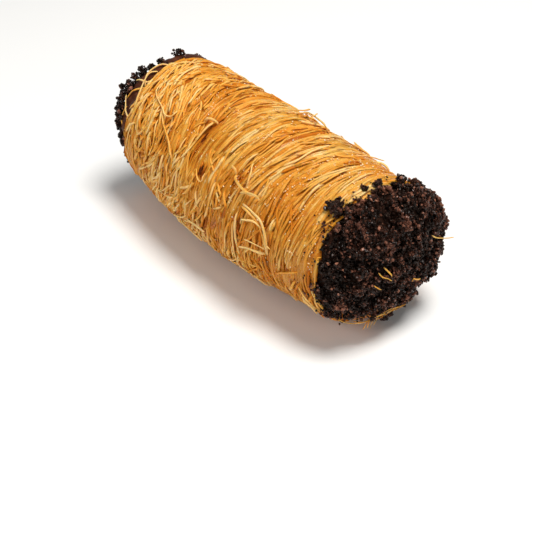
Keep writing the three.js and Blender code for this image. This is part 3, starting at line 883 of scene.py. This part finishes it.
# ---- Crumbs of the near end
# Dry, near-black cocoa biscuit was crushed and pressed into the spread all over the near end: lumps of
# about a millimetre, then fine crumbs that stick round them in clusters, with deep pits between. The
# coat stands a little proud of the pastry and its edge is ragged.

FRONT_LUMPS, FRONT_CLUSTERED, FRONT_FINE = 1150, 7600, 8200
CRUMB_KNOBS = 0.43  # how far a fine crumb's corners stray, as a share of its radius
LUMP_KNOBS = 0.4
END_RADIUS = 14  # rough distance from the axis of the crumbs on an end
CRUMB_SHADES = [
    (0.0, (0.0012, 0.0004, 0.0002)), (0.35, (0.0055, 0.0018, 0.001)), (0.6, (0.028, 0.009, 0.0052)),
    (0.8, (0.11, 0.038, 0.023)), (1.0, (0.34, 0.14, 0.085)),
]

biscuit, tree, shader = new_material("cocoa_biscuit")
grain = noise(tree, 2600, 4.0, 0.7)
pits = noise(tree, 6500, 2.0, 0.6)
shade = worked(tree, "MULTIPLY_ADD", worked(tree, "SUBTRACT", grain, 0.5), 0.9,
               point_value(tree, "tone"))
greasy = worked(tree, "MULTIPLY_ADD", grain, 2.6, -1.15)
feed(tree, shader, {
    "Base Color": colour_steps(tree, shade, CRUMB_SHADES),
    "Roughness": worked(tree, "MULTIPLY_ADD", grain, 0.6, -0.04),
    "Specular IOR Level": 0.2, "Specular Tint": (1.0, 0.68, 0.52, 1),
    "Coat Weight": worked(tree, "MINIMUM", worked(tree, "MAXIMUM", greasy, 0.0), 0.6),
    "Coat Roughness": 0.14,
    "Normal": bump(tree, worked(tree, "MULTIPLY_ADD", pits, 0.3, grain), 0.6, 0.0004),
})


def crumb_mesh(name, heaps, chance, node):
    """One mesh of heaps of crumbs: each by centres, radii, knobbliness and a painted shade and light."""
    points, faces, tones, done = [], [], [], 0
    for centres, sizes, knobs, light in heaps:
        corners, triangles, each = uneven_grains(centres, sizes, knobs, chance)
        points.append(corners)
        faces.append(triangles + done)
        tone = np.clip(chance.normal(0.38, 0.2, len(centres)) + light, 0, 0.88)
        rusty = chance.random(len(centres)) < 0.03
        tones.append(np.repeat(np.where(rusty, 0.98, tone), each))
        done += len(corners)
    points = np.concatenate(points)
    press_flat(points, 0.03)
    tone = np.concatenate(tones)
    piece = lay_mesh(name, points, np.concatenate(faces), biscuit, {"tone": tone}, smooth=False)
    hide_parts(node)


def over_end(chance, count, side, start):
    """Evenly scattered places over an end, from this far from the middle to its tip: x, degrees."""
    tip = HALF_BODY + (FRONT_DOME if side > 0 else BACK_DOME)
    x = start + (tip - start) * np.sin(np.linspace(0, np.pi / 2, 400))
    radius = roll_radius(side * x)
    ring = radius[1:] * np.hypot(np.diff(x), np.diff(radius))
    share = np.concatenate([[0], np.cumsum(ring)]) / ring.sum()
    return side * np.interp(chance.random(count), share, x), chance.uniform(-180, 180, count)


def pile(x, angle, seed):
    """Where crumbs lie thick or thin on an end, from -1 to 1."""
    y, z = end_on(x, angle)
    return 0.5 * wander(y / 2.4 + 30, (z + 0.8 * x) / 2.4 + 30, seed) + 0.65 * wander(
        y / 1.0 + 30, (z + x) / 1.0 + 30, seed + 1)


def coat_level(x, angle):
    """Height of the crumb coat's middle over the roll: proud at its edge, sunk in the spread beyond."""
    beyond = x - front_edge(angle)
    return np.interp(beyond, [-1, 0.5, 2.5, 5.5], [0.2, 0.2, -0.1, -0.6])


def painted_shade_by_height(thick):
    """Painted shade and light: crumbs that lie low are painted dark, the high ones a little paler."""
    return 0.6 * np.minimum(thick, 0) + 0.4 * np.maximum(thick, 0) + 0.02


chance = default_rng(505)
x, angle = over_end(chance, FRONT_LUMPS, 1, 29.5)
kept = x - front_edge(angle) - 0.6 * wander(angle / 3 + 70, angle * 0 + 5, 51) > 0.4
x, angle = x[kept], angle[kept]
thick = pile(x, angle, 52)
lump_x, lump_angle = x[thick > -0.1], angle[thick > -0.1]
lump_lift = coat_level(x, angle) + 1.0 * thick + chance.uniform(-0.35, 0.15, len(x)) - 0.4
centres, _ = on_roll(x, angle, lump_lift)
lump_sizes = 0.36 + 0.4 * chance.random(len(x)) ** 2
heaps = [(centres, lump_sizes, LUMP_KNOBS, painted_shade_by_height(thick))]


def settle(x, angle, raised):
    """Fine crumbs that fall on the coat here: centres, and height in it plus painted light at the top.
    """
    x = np.minimum(x, HALF_BODY + FRONT_DOME - 0.002)
    beyond = x - front_edge(angle) - 0.8 * wander(angle / 2.5 + 70, angle * 0 + 5, 53)
    kept = (beyond > 0) | (chance.random(len(x)) < 0.22 * np.exp(beyond / 0.5))
    x, angle = x[kept], angle[kept]
    thick = pile(x, angle, 52)
    lift = coat_level(x, angle) + 1.5 * thick + chance.uniform(-0.35, 0.3, len(x)) + raised
    # tone shift: height in the coat, plus painted light on the top of the end
    return on_roll(x, angle, lift)[0], thick + 0.24 * np.exp(-((angle - 5) / 35) ** 2) - 0.08


host = chance.integers(0, len(lump_x), FRONT_CLUSTERED)
spread_out = chance.normal(0, 0.5, (FRONT_CLUSTERED, 2))
centres, thick = settle(lump_x[host] + spread_out[:, 0] * 0.8,
                        lump_angle[host] + np.degrees(spread_out[:, 1] / END_RADIUS), 0.25)
sizes = 0.17 + 0.25 * chance.random(len(centres)) ** 1.5
heaps.append((centres, sizes, CRUMB_KNOBS, painted_shade_by_height(thick)))
crumb_mesh("crumbs_front", heaps, chance, "crumb_coat_front")

centres, thick = settle(*over_end(chance, FRONT_FINE, 1, 29.3), 0.05)
sizes = 0.13 + 0.22 * chance.random(len(centres)) ** 1.4
crumb_mesh("fine_crumbs_front", [(centres, sizes, CRUMB_KNOBS, painted_shade_by_height(thick))], chance,
           "crumb_coat_front")


# ---- Shreds stuck on the near end
# A few threads broke off and stuck on the crumbs, one stands out past their edge, and along the foot of
# the end the last threads of the winding fray out from under them.

STUCK_ROUTES = [  # as for the loose shreds
    (1, (40.8, 67, 0.2), (40.9, 71.2, 0.9), (41.1, 76, 1.1), (41.2, 86.5, 1)),
    (1, (40.9, 57, 0.1), (41, 60.8, 0.9), (41.1, 66, 1.2), (41.15, 73.5, 0.9)),
    (1, (40.6, 85, 0.4), (40.75, 88.8, 1.1), (40.9, 97, 1)),
    (1, (41.1, -150, 0.5), (41.2, -142, 1.1), (41, -131, 0.9)),
    (1, (40.5, -62, -0.4), (40.4, -67.8, 0.5), (40, -73.8, 1.9), (39.5, -78.2, 2.8)),
    (2, (35, 122, 0.2), (36, 131, 0.7), (37.1, 137, 0.9), (38.2, 144, 0.9), (39.4, 151, 0.9),
     (39.9, 165, 0.9), (39.3, 192, 0.6)),
    (2, (38.6, 152, 0.1), (39.3, 158, 0.8), (39.8, 172, 0.9), (39.2, 196, 0.7), (38.8, 206, 0.3)),
    (1, (36.4, 143, 0.2), (37.9, 150, 0.7), (38.6, 160, 0.8), (38.9, 178, 0.3)),
    (2, (38.6, 149, 0.3), (38.4, 144, 1.5), (38.2, 142.2, 2.5)),
    (1, (38.2, 158, 0.3), (37.7, 157, 1.2), (37.6, 155.5, 2.1)),
    (1, (39.4, 153, 0.3), (39, 150, 1.4), (38.7, 147.5, 2.2)),
]

lay_shreds("stuck_shreds", STUCK_ROUTES, 454, 0.26, 0.78, "crumb_coat_front")


# ---- Crumbs of the far end
# The far end was only dabbed in the crumbs, which hang on in clusters with the spread bare between
# them. Some clusters stand well out past its rim, several crumbs high.

RIM_CLUSTERS = [  # x, degrees round, height of the cluster
    (-38.6, -8, 3), (-39.2, 9, 2.2), (-39.6, 18, 2.6), (-39.5, 26, 3.5), (-39.6, 35, 3.6),
    (-39.5, 42, 3.6), (-39.4, 48, 4.4), (-39.4, 54, 3.6), (-39.4, 59, 3.4), (-39.2, 64, 3.1),
    (-39.2, 69, 2.8), (-39, 74, 2.5), (-38.6, 79, 1.9), (-37.6, 84, 1.3), (-37, 88, 1),
    (-39.2, -30, 1.8), (-39.4, -62, 2.2), (-39.2, -88, 1.6), (-39.4, -120, 2), (-39.4, 112, 1.6),
    (-39.6, 134, 1.5), (-40, 52, 2.6), (-40.2, 30, 2.2),
]
RIM_START = -36.6  # the x that no cluster's foot passes
FACE_CLUSTERS, FACE_HEIGHTS = 85, (0.5, 1.7)
BACK_SPECKS = 1100
BACK_KNOBS = 0.25

chance = default_rng(606)
centres, sizes = [], []
face_x, face_angle = over_end(chance, FACE_CLUSTERS, -1, 40.4)
clusters = RIM_CLUSTERS + [(*place, chance.uniform(*FACE_HEIGHTS)) for place in zip(face_x, face_angle)]
for x, angle, height in clusters:
    crumbs_here = int(20 + 24 * height)
    reach = chance.uniform(0.9, 1.6)
    off = chance.normal(0, 0.55, (crumbs_here, 2)) * reach
    up = chance.uniform(-0.4, 1, crumbs_here) * height
    off *= (1.1 - 0.6 * np.clip(up / height, 0, 1))[:, None]
    foot = np.clip(x - 0.3 + off[:, 0], -HALF_BODY - BACK_DOME, RIM_START)
    centres.append(on_roll(foot, angle + np.degrees(off[:, 1] / END_RADIUS), up)[0])
    sizes.append(chance.uniform(0.2, 0.52, crumbs_here))
x, angle = over_end(chance, BACK_SPECKS, -1, 39.9)
thick = pile(x, angle, 61)
kept = thick > -0.15
centres.append(on_roll(x[kept], angle[kept], 0.25 + 0.4 * thick[kept])[0])
sizes.append(chance.uniform(0.16, 0.46, kept.sum()))
crumb_mesh("crumbs_back", [(np.concatenate(centres), np.concatenate(sizes), BACK_KNOBS, 0)], chance,
           "crumb_coat_back")


# ---- Stray crumbs
# Crumbs that fell on the sticky pastry beside the near end and stayed: one large clump, some small
# ones, and specks like ground pepper along the coat's edge. Each clump has a few large crumbs at heart.

STRAY_CRUMBS = [  # x, degrees round, size
    (29.9, 33.5, 1.2), (29.2, 31, 1), (29.6, 27.5, 0.9), (30.6, 30.5, 1), (31.4, 34, 1),
    (31.3, 8.5, 0.8), (32.2, -1, 1.05), (31, 33, 0.9), (32.6, -23, 1.1), (31.9, -28, 0.9),
]
STRAY_SPECKS = 60
HEART_CRUMBS, HEART_RADII, OUTER_RADII = 3, (0.5, 0.75), (0.24, 0.5)
BODY_RADIUS = 17  # rough distance from the axis of the pastry beside the near end

chance = default_rng(707)
centres, sizes = [], []
for x, angle, size in STRAY_CRUMBS:
    grains = int(26 * size)
    off = chance.normal(0, 0.42 * size, (grains, 2))
    off[:HEART_CRUMBS] *= 0.5
    up = chance.uniform(0, 1.2, grains) * size
    centres.append(on_roll(x + off[:, 0], angle + np.degrees(off[:, 1] / BODY_RADIUS), up)[0])
    heart = chance.uniform(*HEART_RADII, HEART_CRUMBS)
    outer = chance.uniform(*OUTER_RADII, grains - HEART_CRUMBS)
    sizes.append(np.concatenate([heart, outer]) * size ** 0.5)
low_specks = chance.normal(85, 28, STRAY_SPECKS // 2)
angle = np.concatenate([low_specks, chance.uniform(-180, 180, STRAY_SPECKS // 2)])
x = front_edge(angle) - chance.exponential(0.9, len(angle)) - 0.2
centres.append(on_roll(x, angle, chance.uniform(0.1, 0.4, len(x)))[0])
sizes.append(chance.uniform(0.1, 0.24, len(x)))
crumb_mesh("stray_crumbs", [(np.concatenate(centres), np.concatenate(sizes), BACK_KNOBS, 0)], chance,
           "kadaif_roll")
